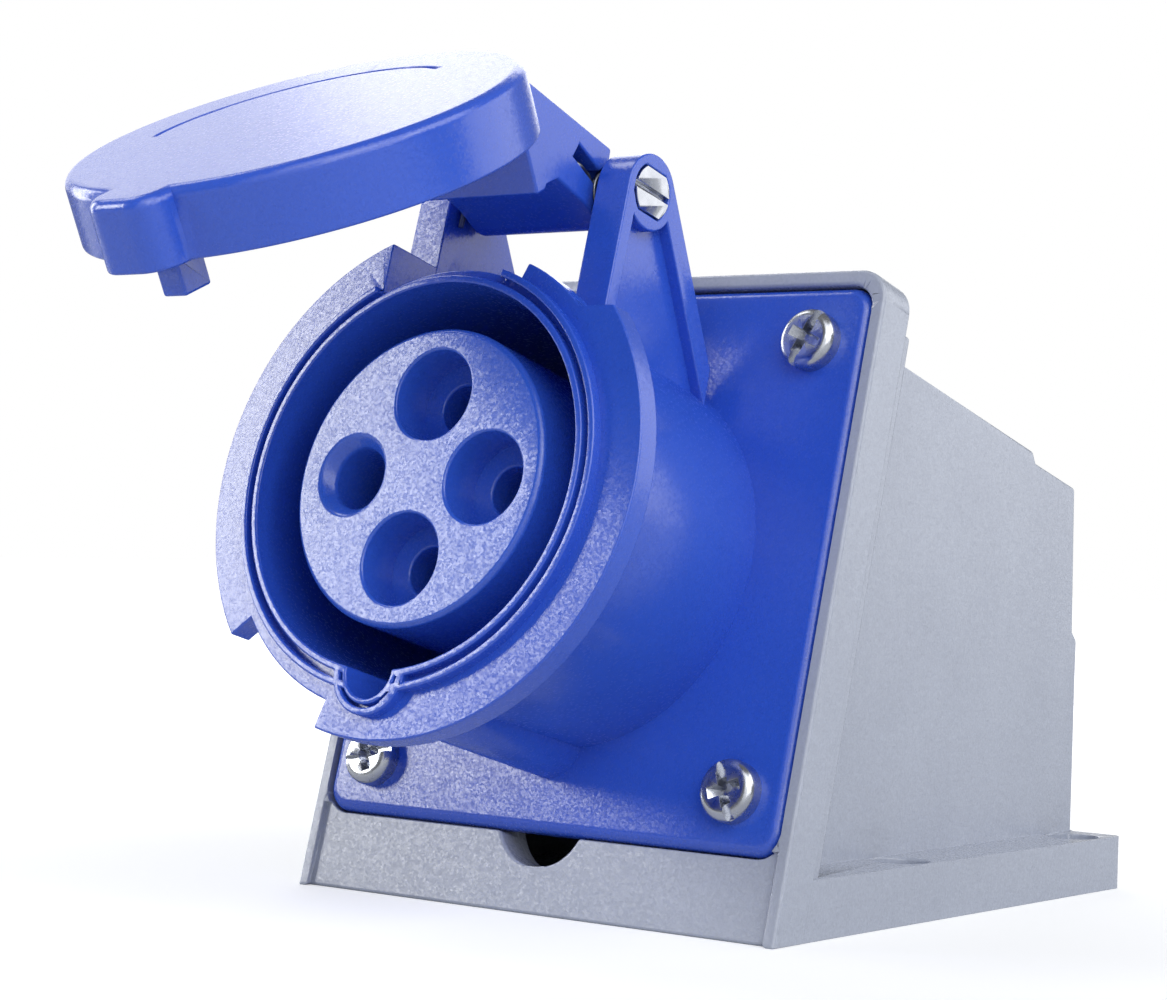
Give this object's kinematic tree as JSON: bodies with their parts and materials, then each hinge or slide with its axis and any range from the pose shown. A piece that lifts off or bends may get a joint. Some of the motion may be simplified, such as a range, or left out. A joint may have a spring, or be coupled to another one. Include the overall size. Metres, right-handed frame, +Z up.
{
  "type": "surface-mounted industrial socket",
  "caption": "Wedge-shaped wall box with a leaning panel that carries a round industrial power socket, its contact insert and a hinged, sprung lid shown half open.",
  "frame": {"origin": "centre of the base's underside", "axes": "+Z up from the base, -Y towards the socket's side, +X to the right seen from the socket's side"},
  "size_m": [0.092, 0.2011, 0.1271],
  "materials": {
    "box_plastic": "light grey moulded plastic, fine grain",
    "blue_plastic": "blue moulded plastic, half-gloss",
    "insert_plastic": "blue moulded plastic, satin",
    "rubber": "black rubber",
    "brass": "turned brass",
    "zinc": "bright zinc plate",
    "spring_steel": "spring steel"
  },
  "bodies": {
    "socket": {"back_box": "box_plastic", "entry_grommet": "rubber", "nut_inserts": "brass", "panel_gasket": "rubber", "socket_body": "blue_plastic", "panel_screws": "zinc", "contact_carrier": "insert_plastic", "carrier_base": "insert_plastic", "carrier_circlip": "spring_steel", "phase_contact_1": "brass", "phase_contact_2": "brass", "phase_contact_3": "brass", "earth_contact": "brass", "phase_contact_rings": "spring_steel", "earth_contact_ring": "spring_steel", "terminal_screws": "zinc", "hinge_pin": "zinc", "pin_clip": "spring_steel"},
    "cover": {"lid": "blue_plastic", "lid_seal": "rubber", "lid_springs": "spring_steel"}
  },
  "joints": [
    {"name": "lid_hinge", "type": "hinge", "parent": "socket", "child": "cover", "pos_m": [0, -0.05461, 0.10921], "axis": [-1, 0, 0], "range_deg": [-50.2, 60]}
  ]
}
